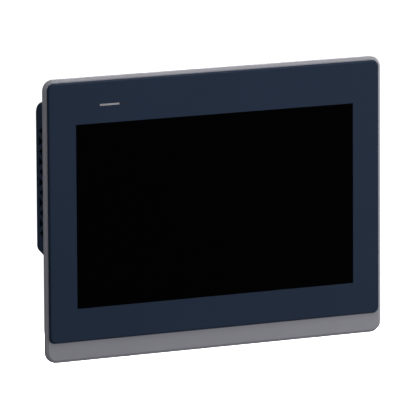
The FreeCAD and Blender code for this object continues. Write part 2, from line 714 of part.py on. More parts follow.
def gasket_outline(made):
    """Draw the two outlines of the ring that seals the panel."""
    width, height = "bezel_width - 2 * seal_inset", "bezel_height - 2 * seal_inset"
    rounded_rectangle(made, width, height, "bezel_corner - seal_inset")
    rounded_rectangle(made, width + " - 2 * seal_width", height + " - 2 * seal_width",
                      "bezel_corner - seal_inset - seal_width")


def panel_gasket():
    """Seal that the flange presses on the panel."""
    body = new_body("panel_gasket")
    ring = sketch(body, "seal_ring", "XZ_Plane", y="-seal_groove")
    gasket_outline(ring)
    pad(body, ring, "seal_groove + seal_proud", "+")


def front_cover():
    """Dark raised cover that frames the screen."""
    body = new_body("front_cover")
    outline = sketch(body, "cover_outline", "XZ_Plane", y=COVER_BACK, z=COVER_LEVEL)
    rounded_rectangle(outline, COVER_WIDTH, COVER_HEIGHT, "cover_corner")
    slab = pad(body, outline, COVER_DEPTH, "-")

    rounding = body.newObject("PartDesign::Fillet", "cover_rounding")
    rounding.Base = (slab, edges_where(slab, level("Y", number(COVER_FACE))))
    bind(rounding, "Radius", "cover_round")

    glass = sketch(body, "cover_glass_seat", "XZ_Plane", y=COVER_BACK, z="screen_level")
    rectangle(glass, *around_screen("glass_margin + fit_gap"))
    pocket(body, glass, GLASS_THICK, "-")

    window = sketch(body, "cover_window", "XZ_Plane", y=COVER_FACE, z="screen_level")
    rectangle(window, "screen_width", "screen_height")
    pocket(body, window, COVER_DEPTH, "+")

    notch = sketch(body, "cover_tail_notch", "XZ_Plane", x="tail_side", y=COVER_BACK,
                   z="tail_level + notch_rise")
    rectangle(notch, "foil_slot", "notch_height")
    pocket(body, notch, GLASS_THICK, "-")

    strip = sketch(body, "cover_strip_seat", "XZ_Plane", x=STRIP_SIDE, y=COVER_FACE, z="lamp_level")
    rectangle(strip, "strip_width", "strip_height")
    pocket(body, strip, "strip_thick", "+")

    lamp = sketch(body, "cover_lamp_slot", "XZ_Plane", x="-lamp_side", y=COVER_FACE, z="lamp_level")
    rectangle(lamp, "lamp_width", "strip_height")
    pocket(body, lamp, COVER_DEPTH, "+")


def screen_stack():
    """Pieces of the screen, from the protective sheet back to the backlight."""
    sheet_size = ("screen_width - 2 * fit_gap", "lip - screen_recess", "screen_height - 2 * fit_gap")
    sheet_front = COVER_FACE + " + screen_recess"
    piece("screen_sheet", middle_block("screen_sheet", "0", sheet_front, "screen_level", sheet_size))

    width, height = around_screen("glass_margin - fit_gap")
    glass_size = (width, GLASS_THICK, height)
    piece("touch_glass", middle_block("touch_glass", "0", GLASS_FACE, "screen_level", glass_size))

    foam = new_body("touch_gasket")
    ring = sketch(foam, "foam_ring", "XZ_Plane", z="screen_level")
    rectangle(ring, *around_screen("opening_margin - fit_gap"))
    rectangle(ring, *around_screen("foam_margin"))
    pad(foam, ring, "floor_depth", "-")

    frame = new_body("lcd_frame")
    outline = sketch(frame, "lcd_outline", "XZ_Plane", z="screen_level")
    rectangle(outline, *around_screen("lcd_margin"))
    pad(frame, outline, "lcd_depth", "+")
    hollow = sketch(frame, "lcd_hollow", "XZ_Plane", y="lcd_sheet", z="screen_level")
    rectangle(hollow, *around_screen("lcd_margin - lcd_sheet"))
    pocket(frame, hollow, "lcd_depth", "+")
    window = sketch(frame, "lcd_view", "XZ_Plane", z="screen_level")
    rectangle(window, *around_screen("lcd_window"))
    pocket(frame, window, "lcd_sheet", "+")

    width, height = around_screen("lcd_margin - lcd_sheet - fit_gap")
    cell = middle_block("lcd_cell", "0", "lcd_sheet", "screen_level", (width, "cell_thick", height))
    piece("lcd_cell", cell)
    light = middle_block("lcd_backlight", "0", "lcd_sheet + cell_thick", "screen_level",
                         (width, "light_thick", height))
    piece("lcd_backlight", light)


def status_lamp():
    """Pale strip, lamp window, light pipe and the small lamp board behind them."""
    strip = middle_block("status_strip", STRIP_SIDE, COVER_FACE, "lamp_level",
                         ("strip_width", "strip_thick", "strip_height"))
    piece("status_strip", strip)
    window = middle_block("lamp_window", "-lamp_side", COVER_FACE, "lamp_level",
                          ("lamp_width", "lip", "strip_height"))
    piece("lamp_window", window)
    pipe_length = "lamp_gap - emitter_size - pipe_gap - (%s)" % GLASS_FACE
    pipe = middle_block("light_pipe", "-lamp_side", GLASS_FACE, "lamp_level",
                        ("lamp_width - 2 * fit_gap", pipe_length, "strip_height - 2 * pipe_gap"))
    piece("light_pipe", pipe)
    board = middle_block("lamp_board", "-lamp_side", "lamp_gap", "lamp_level",
                         ("lamp_board_width", "lamp_board_thick", "lamp_board_height"))
    piece("lamp_board", board)
    lamps = []
    for index, offset in enumerate(("-emitter_pitch", "0", "emitter_pitch")):
        lamps.append(middle_block("lamp_%d" % index, "-lamp_side + (%s)" % offset,
                                  "lamp_gap - emitter_size", "lamp_level",
                                  ("emitter_length", "emitter_size", "emitter_size")))
    piece("status_lamps", group("status_lamps", lamps))


# ---- carrier plate and boards --------------------------------------------------------------

def display_chassis():
    """Steel plate that holds the display in the bezel and carries the main board."""
    body = new_body("display_chassis")
    outline = sketch(body, "chassis_outline", "XZ_Plane", y="lcd_depth", z="screen_level")
    rectangle(outline, "chassis_width", "chassis_height")
    pad(body, outline, "chassis_thick", "+")
    lips = sketch(body, "chassis_lips", "XZ_Plane", y=CHASSIS_BACK, z="screen_level")
    for way in ("", "-"):
        rectangle(lips, "chassis_width - 2 * chassis_relief", "chassis_thick",
                  v="%s(chassis_height - chassis_thick) / 2" % way)
    pad(body, lips, "chassis_flange", "+")
    holes = sketch(body, "chassis_holes", "XZ_Plane", y="lcd_depth")
    circles(holes, "chassis_hole", CHASSIS_POSTS + SPACERS)
    for u, v in (("tail_side", "tail_level"), ("cable_side", "cable_level")):
        rectangle(holes, "foil_slot", "cable_slot", u=u, v=v)
    pocket(body, holes, "chassis_thick", "+")


def main_board():
    """Circuit board with a hole over each spacer."""
    body = new_body("main_board")
    outline = sketch(body, "board_outline", "XZ_Plane", y=BOARD_FRONT)
    rectangle(outline, "board_width", "board_high - board_low", v="(board_high + board_low) / 2")
    circles(outline, "board_hole", SPACERS)
    pad(body, outline, "board_thick", "+")


def spacers_and_screws():
    """Hexagonal spacers and the three kinds of screw, each kind in one sub-part."""
    spacers = []
    for index, (x, z) in enumerate(SPACERS):
        name = "spacer_%d" % index
        post = hexagon(name + "_post", (x, CHASSIS_BACK, z), "+Y", "spacer_radius", "board_gap")
        bore = rod(name + "_bore", (x, CHASSIS_BACK, z), "+Y", "spacer_bore", "board_gap")
        spacers.append(cut(name, post, bore))
    piece("board_spacers", group("board_spacers", spacers))

    for kind, seat, places in (("board", BOARD_BACK, SPACERS), ("chassis", CHASSIS_BACK, CHASSIS_POSTS),
                               ("housing", PLATE_BACK, HOUSING_POSTS)):
        name = kind + "_screw"
        screws = [screw("%s_%d" % (name, index), x, seat, z, kind)
                  for index, (x, z) in enumerate(places)]
        piece(name + "s", group(name + "s", screws))


def ribbon(name, side, runs):
    """Join flat runs, each given by its low and high y and z, into one flexible cable."""
    strips = []
    for index, (y_low, y_high, z_low, z_high) in enumerate(runs):
        low = ("(%s) - foil_width / 2" % side, y_low, z_low)
        size = ("foil_width", "(%s) - (%s)" % (y_high, y_low), "(%s) - (%s)" % (z_high, z_low))
        strips.append(block("%s_run_%d" % (name, index), low, size))
    piece(name, fuse(name, strips))


def ribbons():
    """Flat cables from the touch glass and the display to the front of the main board."""
    glass_low = "screen_level - screen_height / 2 - glass_margin + fit_gap"
    ribbon("touch_tail", "tail_side", (
        ("tail_front", "tail_front + foil_thick", "tail_turn", glass_low),
        ("tail_front", "tail_back", "tail_turn - foil_thick", "tail_turn"),
        ("tail_back - foil_thick", "tail_back", "tail_turn", "tail_top"),
        ("tail_back - foil_thick", BOARD_FRONT, "tail_top", "tail_top + foil_thick")))
    ribbon("display_cable", "cable_side", (
        ("lcd_depth - foil_thick", "lcd_depth", "cable_low", "cable_level"),
        ("lcd_depth - foil_thick", "cable_back", "cable_level", "cable_level + foil_thick"),
        ("cable_back - foil_thick", "cable_back", "cable_level + foil_thick", "cable_top"),
        ("cable_back - foil_thick", BOARD_FRONT, "cable_top", "cable_top + foil_thick")))


def board_parts():
    """Processor with its heat sink, memory, power parts and clock battery."""
    chip = middle_block("processor", "chip_side", BOARD_BACK, "chip_level",
                        ("chip_size", "chip_thick", "chip_size"))
    piece("processor", chip)
    pad_front = BOARD_BACK + " + chip_thick"
    soft_pad = middle_block("thermal_pad", "chip_side", pad_front, "chip_level",
                            ("pad_size", "pad_thick", "pad_size"))
    piece("thermal_pad", soft_pad)
    sink = new_body("heat_sink")
    sink_front = pad_front + " + pad_thick"
    base = sketch(sink, "sink_plate", "XZ_Plane", x="chip_side", y=sink_front, z="chip_level")
    rectangle(base, "sink_size", "sink_size")
    pad(sink, base, "sink_base", "+")
    fin = sketch(sink, "sink_fin", "XZ_Plane", x="chip_side - (sink_size - fin_thick) / 2",
                 y=sink_front + " + sink_base", z="chip_level")
    rectangle(fin, "fin_thick", "sink_size")
    fin_pitch = "(sink_size - fin_thick) / %d" % (FIN_COUNT - 1)
    repeat(sink, pad(sink, fin, "fin_height", "+"), "H_Axis", fin_pitch, FIN_COUNT)

    memory = [middle_block("memory_%d" % index, "memory_side", BOARD_BACK, "chip_level" + offset,
                           ("memory_width", "memory_thick", "memory_height"))
              for index, offset in enumerate((" - memory_pitch", "", " + memory_pitch"))]
    piece("memory_chips", group("memory_chips", memory))
    coils = [middle_block("coil_%d" % index, "coil_side", BOARD_BACK, "coil_low" + offset,
                          ("coil_size", "coil_thick", "coil_size"))
             for index, offset in enumerate(("", " + coil_pitch"))]
    piece("power_coils", group("power_coils", coils))
    cans = [rod("can_%d" % index, ("can_side", BOARD_BACK, "can_pitch * %d" % index), "+Y",
                "can_radius", "can_length")
            for index in range(3)]
    piece("capacitors", group("capacitors", cans))

    room_front = BOARD_BACK + " + holder_floor"
    cup = rod("holder_cup", ("battery_side", BOARD_BACK, "battery_level"), "+Y", "holder_radius",
              "holder_depth")
    room = rod("holder_hole", ("battery_side", room_front, "battery_level"), "+Y", "holder_room",
               "holder_depth")
    notch = middle_block("holder_gap", "battery_side", room_front, "battery_level + holder_room",
                         ("holder_notch", "holder_depth", "holder_notch"))
    piece("battery_holder", cut("battery_holder", cup, fuse("holder_hollow", [room, notch])))
    coin = rod("coin_cell", ("battery_side", room_front + " + coin_gap", "battery_level"), "+Y",
               "coin_radius", "coin_thick")
    piece("coin_cell", coin)


# ---- connectors on the lower wall ----------------------------------------------------------

def upward_block(name, x, y, z, size):
    """Make a box centred on x that starts at y and z and runs back and up."""
    return block(name, ("(%s) - (%s) / 2" % (x, size[0]), y, z), size)


def network_jacks():
    """Two modular jacks with their spring contacts."""
    room_front = BOARD_BACK + " + socket_front"
    wires = []
    for letter in "ab":
        name = "network_jack_" + letter
        x = "network_%s_side" % letter
        shell = upward_block(name + "_shell", x, BOARD_BACK, PORT_MOUTH,
                             ("jack_width", "jack_depth", "jack_height"))
        room = upward_block(name + "_room", x, room_front, PORT_MOUTH,
                            ("socket_width", "socket_depth", "socket_height"))
        latch = upward_block(name + "_latch", x, room_front + " + socket_depth", PORT_MOUTH,
                             ("latch_width", "latch_depth", "socket_height"))
        piece(name, cut(name, shell, fuse(name + "_hollow", [room, latch])))
        for index in range(JACK_WIRES):
            offset = "%s + wire_pitch * %.1f" % (x, index - (JACK_WIRES - 1) / 2)
            wires.append(upward_block("%s_wire_%d" % (name, index), offset, room_front,
                                      PORT_MOUTH + " + wire_inset",
                                      ("wire_width", "wire_depth", "wire_length")))
    piece("jack_contacts", group("jack_contacts", wires))


def d_outline(made, smaller):
    """Draw the connector's D-shaped outline, smaller than the tube's outside by a margin all round."""
    half_u = "(tube_width / 2 - (%s))" % smaller
    half_v = "(tube_depth / 2 - (%s))" % smaller
    inner_u = half_u + " - tube_slant"
    polygon(made, (("-" + half_u, half_v), ("-(%s)" % inner_u, "-" + half_v),
                   (inner_u, "-" + half_v), (half_u, half_v)))


def serial_port():
    """Nine-way connector: steel shell, insulator, pins and lock studs."""
    middle = BOARD_BACK + " + serial_middle"
    flange_low = "box_low + serial_inset"
    block_low = flange_low + " + serial_sheet"
    here = {"x": "serial_side", "y": middle}
    shell = new_body("serial_shell")
    flange = sketch(shell, "serial_flange", "XY_Plane", z=flange_low, **here)
    rectangle(flange, "serial_width", "serial_depth")
    d_outline(flange, "tube_sheet")
    pad(shell, flange, "serial_sheet", "+")
    tube = sketch(shell, "serial_tube", "XY_Plane", z=flange_low, **here)
    d_outline(tube, "0")
    d_outline(tube, "tube_sheet")
    pad(shell, tube, "tube_reach", "-")
    holes = sketch(shell, "serial_holes", "XY_Plane", z=flange_low, **here)
    circles(holes, "stud_hole", [("-stud_side", "0"), ("stud_side", "0")])
    pocket(shell, holes, "serial_sheet", "+")

    insert = new_body("serial_insulator")
    core = sketch(insert, "insulator_block", "XY_Plane", z=block_low, **here)
    rectangle(core, "insert_width", "insert_depth")
    pad(insert, core, "insert_height", "+")
    face = sketch(insert, "insulator_face", "XY_Plane", z=block_low, **here)
    d_outline(face, "tube_sheet + face_gap")
    pad(insert, face, "face_depth", "-")

    pins = []
    for row, (count, offset) in enumerate(((5, "pin_row"), (4, "-pin_row"))):
        for index in range(count):
            x = "serial_side + pin_pitch * %.1f" % (index - (count - 1) / 2)
            start = (x, "%s + (%s)" % (middle, offset), block_low + " - face_depth")
            pins.append(rod("serial_pin_%d_%d" % (row, index), start, "-Z", "pin_radius", "pin_length"))
    piece("serial_pins", group("serial_pins", pins))

    studs = []
    for index, offset in enumerate(("-stud_side", "stud_side")):
        x = "serial_side + (%s)" % offset
        head = hexagon("stud_head_%d" % index, (x, middle, flange_low), "-Z", "stud_radius", "stud_head")
        stem = rod("stud_stem_%d" % index, (x, middle, flange_low), "+Z", "stud_stem", "stem_length")
        bore = rod("stud_bore_%d" % index, (x, middle, flange_low + " - stud_head"), "+Z", "stud_bore",
                   "bore_depth")
        studs.append(cut("stud_%d" % index, fuse("stud_blank_%d" % index, [head, stem]), bore))
    piece("serial_studs", group("serial_studs", studs))


def usb_port():
    """Host port: a steel sleeve round an insulating tongue."""
    outside = upward_block("usb_outside", "host_side", BOARD_BACK, PORT_MOUTH,
                           ("usb_width", "usb_depth", "usb_height"))
    hollow = upward_block("usb_hollow", "host_side", BOARD_BACK + " + usb_sheet",
                          PORT_MOUTH + " - usb_sheet",
                          ("usb_width - 2 * usb_sheet", "usb_depth - 2 * usb_sheet", "usb_height"))
    piece("usb_shell", cut("usb_shell", outside, hollow))
    back_low = PORT_MOUTH + " + usb_height - usb_back_height - usb_back_inset"
    inset = "usb_sheet + usb_back_gap"
    back = upward_block("usb_back", "host_side", "%s + %s" % (BOARD_BACK, inset), back_low,
                        ("usb_width - 2 * (%s)" % inset, "usb_depth - 2 * (%s)" % inset,
                         "usb_back_height"))
    blade = upward_block("usb_blade", "host_side", BOARD_BACK + " + blade_front",
                         back_low + " - blade_height", ("blade_width", "blade_depth", "blade_height"))
    piece("usb_tongue", fuse("usb_tongue", [back, blade]))


def setting_switch():
    """Small switch with two levers, reached through the lower wall."""
    low = "box_low + switch_inset"
    case = upward_block("switch_case", "switch_side", BOARD_BACK, low,
                        ("switch_width", "switch_depth", "switch_height"))
    tracks = []
    for index, offset in enumerate(("-track_side", "track_side"), start=1):
        x = "switch_side + (%s)" % offset
        tracks.append(upward_block("switch_track_%d" % index, x, BOARD_BACK + " + track_front", low,
                                   ("track_width", "track_length", "track_height")))
        lever = upward_block("switch_lever_%d" % index, x, BOARD_BACK + " + lever_front",
                             "box_low", ("lever_size", "lever_size", "lever_height"))
        piece("switch_lever_%d" % index, lever)
    piece("setting_switch", cut("setting_switch", case, fuse("switch_tracks", tracks)))


def power_inlet():
    """Three-way supply header on the board and the plug that is pulled off downwards."""
    shell = upward_block("header_shell", "power_side", BOARD_BACK, PORT_MOUTH,
                         ("header_width", "header_depth", "header_height"))
    room_front = BOARD_BACK + " + header_wall"
    room_size = ("header_width - 2 * header_wall", "header_depth - 2 * header_wall",
                 "header_height - header_floor")
    room = upward_block("header_room", "power_side", room_front, PORT_MOUTH, room_size)
    piece("power_header", cut("power_header", shell, room))

    front = room_front + " + plug_gap"
    back = "%s + header_depth - 2 * header_wall - 2 * plug_gap" % front
    low = PORT_MOUTH + " - plug_hang"
    pins = []
    bores = []
    screws = []
    for index, offset in enumerate(("-plug_pitch", "0", "plug_pitch")):
        x = "power_side + (%s)" % offset
        pins.append(upward_block("header_pin_%d" % index, x, front + " + pole_front",
                                 PORT_MOUTH + " + pole_inset", ("pole_size", "pole_size", "pole_length")))
        socket_front = front + " + pole_front - (socket_size - pole_size) / 2"
        bores.append(upward_block("plug_socket_%d" % index, x, socket_front,
                                  PORT_MOUTH + " + socket_inset",
                                  ("socket_size", "socket_size", "socket_room")))
        bores.append(upward_block("plug_entry_%d" % index, x, front + " + entry_front", low,
                                  ("entry_width", "entry_depth", "entry_height")))
        well_level = low + " + well_level"
        bores.append(rod("plug_well_%d" % index, (x, back, well_level), "-Y", "well_radius",
                         "well_depth"))
        screws.append(terminal_screw("terminal_screw_%d" % index, x, back + " - pole_screw_inset",
                                     well_level))
    piece("power_pins", group("power_pins", pins))
    plug_size = ("header_width - 2 * header_wall - 2 * plug_gap",
                 "header_depth - 2 * header_wall - 2 * plug_gap", "plug_height")
    case = upward_block("plug_case", "power_side", front, low, plug_size)
    piece("power_plug", cut("power_plug", case, fuse("plug_bores", bores)))
    piece("plug_screws", group("plug_screws", screws))


def terminal_screw(name, x, y, z):
    """Make a slotted screw that lies in its well, its head towards the back."""
    head = rod(name + "_head", (x, y, z), "-Y", "pole_screw", "pole_screw_depth")
    slot = middle_block(name + "_slot", x, "(%s) - screw_slot" % y, z,
                        ("screw_slot", "2 * screw_slot", "2 * well_radius"))
    return cut(name, head, slot)


# ---- rear housing --------------------------------------------------------------------------

def rounded(body, base, name, tests, radius):
    """Round the edges of a body that pass every test."""
    made = body.newObject("PartDesign::Fillet", name)
    made.Base = (base, edges_where(base, lambda box: all(test(box) for test in tests)))
    bind(made, "Radius", radius)
    return made


def rear_housing():
    """Dark moulding: a plate over the tray and a deep part that covers the main board."""
    body = new_body("rear_housing")
    plate = sketch(body, "housing_plate", "XZ_Plane", y="tray_depth")
    rounded_rectangle(plate, TRAY_WIDTH, TRAY_HEIGHT, "tray_corner")
    pad(body, plate, "wall", "+")

    deep = sketch(body, "housing_deep", "YZ_Plane")
    root = PLATE_BACK + " - root_overlap"
    polygon(deep, ((root, "box_low"), ("box_shoulder", "box_low"), ("box_back", "box_low_back"),
                   ("box_back", "box_high"), (root, "box_high")))
    shape = pad(body, deep, "2 * box_side", "both")
    for name, depth, axis, place, radius in (
            ("shoulder", "box_shoulder", "Z", "box_low", "slope_round"),
            ("high_edge", "box_back", "Z", "box_high", "high_round"),
            ("low_edge", "box_back", "Z", "box_low_back", "low_round"),
            ("left_edge", "box_back", "X", "-box_side", "side_round"),
            ("right_edge", "box_back", "X", "box_side", "side_round")):
        tests = level("Y", number(depth)), level(axis, number(place))
        shape = rounded(body, shape, "housing_" + name, tests, radius)

    hollow = sketch(body, "housing_hollow", "YZ_Plane")
    inner_back = "box_back - box_wall"
    inner_shoulder = "box_shoulder - shoulder_set"
    polygon(hollow, (("tray_depth", "box_low + box_wall"),
                     (inner_shoulder, "box_low + box_wall"),
                     (inner_back, "box_low_back + box_wall - lower_set"),
                     (inner_back, "box_high - box_wall - high_ease"),
                     (inner_back + " - high_ease", "box_high - box_wall"),
                     ("tray_depth", "box_high - box_wall")))
    pocket(body, hollow, "2 * (box_side - box_wall)", "both")

    vents(body)
    port_openings(body)

    holes = sketch(body, "housing_screw_holes", "XZ_Plane", y="tray_depth")
    circles(holes, "housing_hole", HOUSING_POSTS)
    pocket(body, holes, "wall", "+")

    seat = sketch(body, "housing_label_seat", "XZ_Plane", x="label_side", y="box_back",
                  z="label_level")
    rectangle(seat, "label_width", "label_height")
    pocket(body, seat, "label_thick", "-")


def vents(body):
    """Cut both side walls in a zigzag of triangles, and the top wall in a row of slots."""
    point = "box_back - vent_margin"
    base = point + " - vent_reach"
    rows = (("backward", point, base, "vent_low", REAR_VENTS),
            ("forward", base, point, "vent_low + vent_pitch / 2", FRONT_VENTS))
    for name, tip, foot, low, count in rows:
        triangle = sketch(body, "vent_" + name, "YZ_Plane", z=low)
        polygon(triangle, ((tip, "0"), (foot, "vent_base / 2"), (foot, "-vent_base / 2")))
        cutter = pocket(body, triangle, "2 * (box_side + overcut)", "both")
        repeat(body, cutter, "V_Axis", "vent_pitch", count)

    slot = sketch(body, "vent_slot", "XY_Plane", x="-slot_pitch * %.1f" % ((SLOT_COUNT - 1) / 2),
                  y="box_shoulder - slot_margin - slot_length / 2", z="box_high")
    rectangle(slot, "slot_width", "slot_length")
    repeat(body, pocket(body, slot, "box_wall + overcut", "-"), "H_Axis", "slot_pitch", SLOT_COUNT)


def port_openings(body):
    """Cut the lower wall round each connector."""
    openings = sketch(body, "housing_ports", "XY_Plane", z="box_low - overcut")
    for x, width, depth in (
            ("power_side", "header_width", "header_depth"),
            ("switch_side", "switch_width", "switch_depth"),
            ("host_side", "usb_width", "usb_depth"),
            ("network_a_side", "jack_width", "jack_depth"),
            ("network_b_side", "jack_width", "jack_depth"),
            ("serial_side", "serial_width", "serial_middle + serial_depth / 2")):
        rectangle(openings, width + " + 2 * port_gap", depth + " + port_gap + port_front_gap", u=x,
                  v="%s + (%s + port_gap - port_front_gap) / 2" % (BOARD_BACK, depth))
    pocket(body, openings, "box_wall + 1.5 * overcut", "+")


def rating_plate():
    """Blank plate let into the rear face."""
    plate = middle_block("rating_plate", "label_side", "box_back - label_thick", "label_level",
                         ("label_width - 2 * label_gap", "label_thick", "label_height - 2 * label_gap"))
    piece("rating_plate", plate)


# ---- clamps --------------------------------------------------------------------------------

def clamp(index, side, flipped):
    """One clamp: a block hooked into the tray, a screw through it, and the foot on its tip."""
    block_body = new_body("clamp_block_%d" % index)
    front = sketch(block_body, "block_face_%d" % index, "XZ_Plane", y="clamp_front", z="clamp_level")
    rectangle(front, "clamp_width", "2 * clamp_half")
    circles(front, "thread_radius + thread_gap", [("0", "0")])
    pad(block_body, front, "clamp_depth", "+")
    hook = sketch(block_body, "block_hook_%d" % index, "YZ_Plane")
    leg_back = "clamp_front + hook_thick"
    lip_front = "clamp_front - hook_reach"
    under = TRAY_TOP + " - wall - hook_gap"
    polygon(hook, ((leg_back, "clamp_level - clamp_half"), ("clamp_front", "clamp_level - clamp_half"),
                   ("clamp_front", under), (lip_front, under), (lip_front, under + " - hook_thick"),
                   (leg_back, under + " - hook_thick")))
    pad(block_body, hook, "hook_width", "both")

    foot = new_body("clamp_foot_%d" % index)
    disc = sketch(foot, "foot_disc_%d" % index, "XZ_Plane", y="foot_front", z="clamp_level")
    circles(disc, "foot_radius", [("0", "0")])
    pad(foot, disc, "foot_depth", "+")
    cup = sketch(foot, "foot_cup_%d" % index, "XZ_Plane", y="foot_front + foot_depth", z="clamp_level")
    circles(cup, "thread_radius + thread_gap", [("0", "0")])
    pocket(foot, cup, "foot_front + foot_depth - screw_front + tip_gap", "-")

    stem_body = new_body("clamp_screw_%d" % index)
    stem = sketch(stem_body, "stem_%d" % index, "XZ_Plane", y="screw_front", z="clamp_level")
    circles(stem, "thread_radius", [("0", "0")])
    pad(stem_body, stem, "screw_length", "+")
    key = sketch(stem_body, "key_%d" % index, "XZ_Plane", y="screw_front + screw_length", z="clamp_level")
    polygon(key, [("key_radius * cos(%d)" % angle, "key_radius * sin(%d)" % angle)
                  for angle in range(0, 360, 60)])
    pocket(stem_body, key, "key_depth", "-")

    turned = FreeCAD.Rotation(AXES["+Y"], 180 if flipped else 0)
    for body in (block_body, foot, stem_body):
        body.Placement.Rotation = turned
        bind(body, "Placement.Base.x", side)


def clamps():
    corners = (("-clamp_side", False), ("clamp_side", False), ("-clamp_side", True), ("clamp_side", True))
    for index, (side, flipped) in enumerate(corners, start=1):
        clamp(index, side, flipped)


# ---- build, check and write ----------------------------------------------------------------

LEAST_CUT = 1e-3


def check():
    """Stop if any object failed, any pocket cut nothing or any sub-part is not sound."""
    doc.recompute()
    for item in doc.Objects:
        if "Invalid" in item.State or "Error" in item.State:
            raise RuntimeError("%s failed: %s" % (item.Name, item.State))
        if item.TypeId == "PartDesign::Pocket":
            if item.BaseFeature.Shape.Volume - item.Shape.Volume < LEAST_CUT:
                raise RuntimeError("%s cuts nothing" % item.Name)
    for item in nodes:
        if item.Shape.isNull() or not item.Shape.isValid() or not item.Shape.Solids:
            raise RuntimeError("%s is not a sound solid" % item.Label)


def write():
    os.makedirs("parts", exist_ok=True)
    for item in nodes:
        item.Shape.exportStep("parts/%s.step" % item.Label)
    print("%d sub-parts written" % len(nodes))


front_bezel()
front_cover()
screen_stack()
status_lamp()
panel_gasket()
display_chassis()
main_board()
spacers_and_screws()
ribbons()
board_parts()
network_jacks()
serial_port()
usb_port()
setting_switch()
power_inlet()
rear_housing()
rating_plate()
clamps()
check()
write()
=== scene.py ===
"""Looks for the panel-mounted operator terminal: materials, fine detail, studio and camera."""

import json
import math
import random

import bmesh
import bpy
from mathutils import Matrix, Vector


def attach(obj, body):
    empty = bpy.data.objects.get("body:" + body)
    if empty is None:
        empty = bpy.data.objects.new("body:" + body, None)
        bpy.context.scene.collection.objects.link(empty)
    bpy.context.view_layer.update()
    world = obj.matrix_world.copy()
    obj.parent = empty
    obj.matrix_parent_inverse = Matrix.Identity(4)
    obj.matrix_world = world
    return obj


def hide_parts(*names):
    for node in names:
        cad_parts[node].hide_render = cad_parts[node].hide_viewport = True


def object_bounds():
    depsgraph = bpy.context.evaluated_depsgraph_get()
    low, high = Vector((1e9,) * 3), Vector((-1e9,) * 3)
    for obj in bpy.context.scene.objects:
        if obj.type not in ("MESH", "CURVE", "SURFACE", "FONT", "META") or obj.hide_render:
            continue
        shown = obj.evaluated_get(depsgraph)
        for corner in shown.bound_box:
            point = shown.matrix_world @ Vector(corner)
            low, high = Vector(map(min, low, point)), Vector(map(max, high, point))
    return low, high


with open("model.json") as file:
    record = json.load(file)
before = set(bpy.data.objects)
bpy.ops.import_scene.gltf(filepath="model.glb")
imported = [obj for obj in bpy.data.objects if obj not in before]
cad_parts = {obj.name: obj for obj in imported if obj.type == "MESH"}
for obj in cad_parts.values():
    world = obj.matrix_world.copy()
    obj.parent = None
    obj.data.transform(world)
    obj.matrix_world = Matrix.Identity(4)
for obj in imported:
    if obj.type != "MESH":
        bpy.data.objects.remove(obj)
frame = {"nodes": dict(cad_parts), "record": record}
cad_low, cad_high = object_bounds()
MM = 0.001
NOISE_SPREAD = (0.3, 0.7)  # nearly all of a noise's values lie between these
ACRYLIC_INDEX = 1.49
EDGE_TURN = (0.53, 0.6)  # how sharply the surface turns where wear begins and is full


# ---- materials -----------------------------------------------------------------------------

